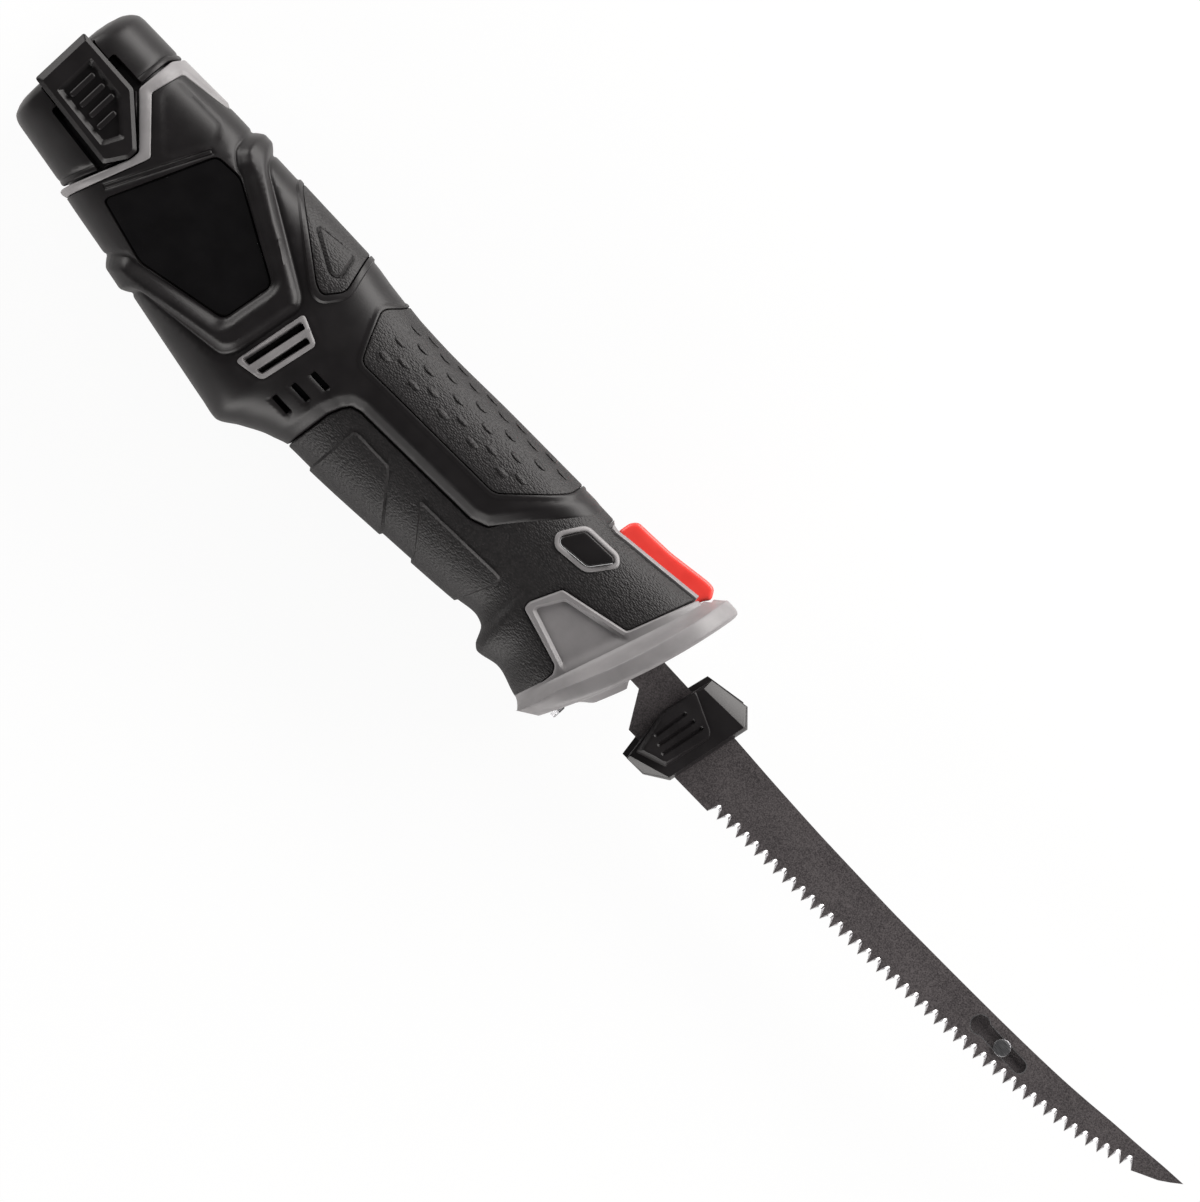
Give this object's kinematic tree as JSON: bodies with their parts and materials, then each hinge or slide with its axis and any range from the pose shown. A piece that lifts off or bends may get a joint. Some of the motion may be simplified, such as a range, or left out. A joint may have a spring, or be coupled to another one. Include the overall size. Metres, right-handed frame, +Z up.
{
  "type": "electric fillet knife",
  "caption": "Cordless electric fillet knife: twin serrated blades that slide past each other, thumb trigger, oval hand guard, rubber grips and a push-in battery pack.",
  "frame": {"origin": "centre of the flat crest on the handle's left side, where the knife rests on the table", "axes": "+X along the knife towards the blade tip, +Y towards the spine and trigger, +Z up from the table, across the knife"},
  "size_m": [0.477, 0.0752, 0.052],
  "materials": {
    "black_plastic": "satin moulded black",
    "grip_rubber": "fine leather grain",
    "grey_plastic": "satin warm grey",
    "gloss_black": "polished black",
    "red_plastic": "satin red",
    "coated_steel": "dark speckled coating with bright ground teeth",
    "bright_steel": "bare",
    "motor_metal": "plated",
    "bronze": "machined",
    "nylon": "natural",
    "cell_sleeve": "shrink sleeve",
    "inner_plastic": "as moulded"
  },
  "bodies": {
    "handle": {"right_housing": "black_plastic", "left_housing": "black_plastic", "right_upper_grip": "grip_rubber", "left_upper_grip": "grip_rubber", "right_rear_pad": "grip_rubber", "left_rear_pad": "grip_rubber", "right_sleeve": "grip_rubber", "left_sleeve": "grip_rubber", "right_vent_grille": "grey_plastic", "left_vent_grille": "grey_plastic", "right_button_bezel": "grey_plastic", "left_button_bezel": "grey_plastic", "side_plate": "gloss_black", "rear_collar": "grey_plastic", "front_guard": "grey_plastic", "trigger_bezel": "grey_plastic", "trigger_pin": "bright_steel", "trigger_spring": "bright_steel", "switch_body": "inner_plastic", "switch_bracket": "inner_plastic", "carrier_guide": "inner_plastic", "motor_can": "motor_metal", "motor_cap": "inner_plastic", "gear_axle": "bright_steel", "front_bush": "bronze", "gear_frame": "inner_plastic", "contact_block": "inner_plastic", "housing_screw_1": "bright_steel", "housing_screw_2": "bright_steel", "housing_screw_3": "bright_steel", "housing_screw_4": "bright_steel", "housing_screw_5": "bright_steel", "guard_screw": "bright_steel"},
    "trigger": {"trigger": "red_plastic"},
    "plunger": {"switch_plunger": "red_plastic"},
    "lock": {"lock_button": "black_plastic"},
    "rotor": {"motor_shaft": "bright_steel", "worm": "bronze", "cooling_fan": "inner_plastic"},
    "gear": {"drive_gear": "nylon"},
    "right_carrier": {"right_blade_carrier": "nylon"},
    "left_carrier": {"left_blade_carrier": "nylon"},
    "right_blade": {"right_blade": "coated_steel", "right_blade_clip": "black_plastic"},
    "left_blade": {"left_blade": "coated_steel", "left_blade_clip": "black_plastic", "blade_rivet": "bright_steel"},
    "battery": {"battery_case": "black_plastic", "battery_cell_1": "cell_sleeve", "battery_cell_2": "cell_sleeve", "battery_cell_3": "cell_sleeve", "battery_terminals": "inner_plastic"},
    "right_latch": {"right_latch": "black_plastic"},
    "left_latch": {"left_latch": "black_plastic"}
  },
  "joints": [
    {"name": "right_blade_stroke", "type": "slide", "parent": "handle", "child": "right_carrier", "axis": [1, 0, 0], "range_m": [-0.003, 0.003]},
    {"name": "left_blade_stroke", "type": "slide", "parent": "handle", "child": "left_carrier", "axis": [1, 0, 0], "range_m": [-0.003, 0.003]},
    {"name": "right_blade_pull", "type": "slide", "parent": "right_carrier", "child": "right_blade", "axis": [1, 0, 0], "range_m": [0, 0.04]},
    {"name": "left_blade_pull", "type": "slide", "parent": "left_carrier", "child": "left_blade", "axis": [1, 0, 0], "range_m": [0, 0.04]},
    {"name": "trigger_press", "type": "hinge", "parent": "handle", "child": "trigger", "pos_m": [0.123, 0.031, 0.026], "axis": [0, 0, 1], "range_deg": [-7, 0], "stiffness_Nm_per_rad": 0.3, "springref_deg": 5.73, "deforming": ["trigger_spring"]},
    {"name": "plunger_press", "type": "slide", "parent": "handle", "child": "plunger", "axis": [0, 1, 0], "range_m": [-0.0014, 0]},
    {"name": "lock_slide", "type": "slide", "parent": "handle", "child": "lock", "axis": [0, 0, 1], "range_m": [-0.003, 0]},
    {"name": "rotor_spin", "type": "hinge", "parent": "handle", "child": "rotor", "pos_m": [0.044, -0.0042, 0.026], "axis": [1, 0, 0], "continuous": true},
    {"name": "gear_spin", "type": "hinge", "parent": "handle", "child": "gear", "pos_m": [0.044, 0.0108, 0.026], "axis": [0, 0, 1], "continuous": true},
    {"name": "battery_slide", "type": "slide", "parent": "handle", "child": "battery", "axis": [-1, 0, 0], "range_m": [0, 0.05]},
    {"name": "right_latch_press", "type": "hinge", "parent": "battery", "child": "right_latch", "pos_m": [-0.093, 0.008, 0.0502], "axis": [0, 1, 0], "range_deg": [0, 4], "stiffness_Nm_per_rad": 0.3, "springref_deg": -2.86},
    {"name": "left_latch_press", "type": "hinge", "parent": "battery", "child": "left_latch", "pos_m": [-0.093, 0.008, 0.0018], "axis": [0, -1, 0], "range_deg": [0, 4], "stiffness_Nm_per_rad": 0.3, "springref_deg": -2.86}
  ],
  "couplings": [
    {"joint": "left_blade_stroke", "follows": "right_blade_stroke", "ratio": -1},
    {"joint": "left_blade_pull", "follows": "right_blade_pull", "ratio": 1},
    {"joint": "plunger_press", "follows": "trigger_press", "m_per_rad": 0.011},
    {"joint": "gear_spin", "follows": "rotor_spin", "ratio": -0.1}
  ]
}
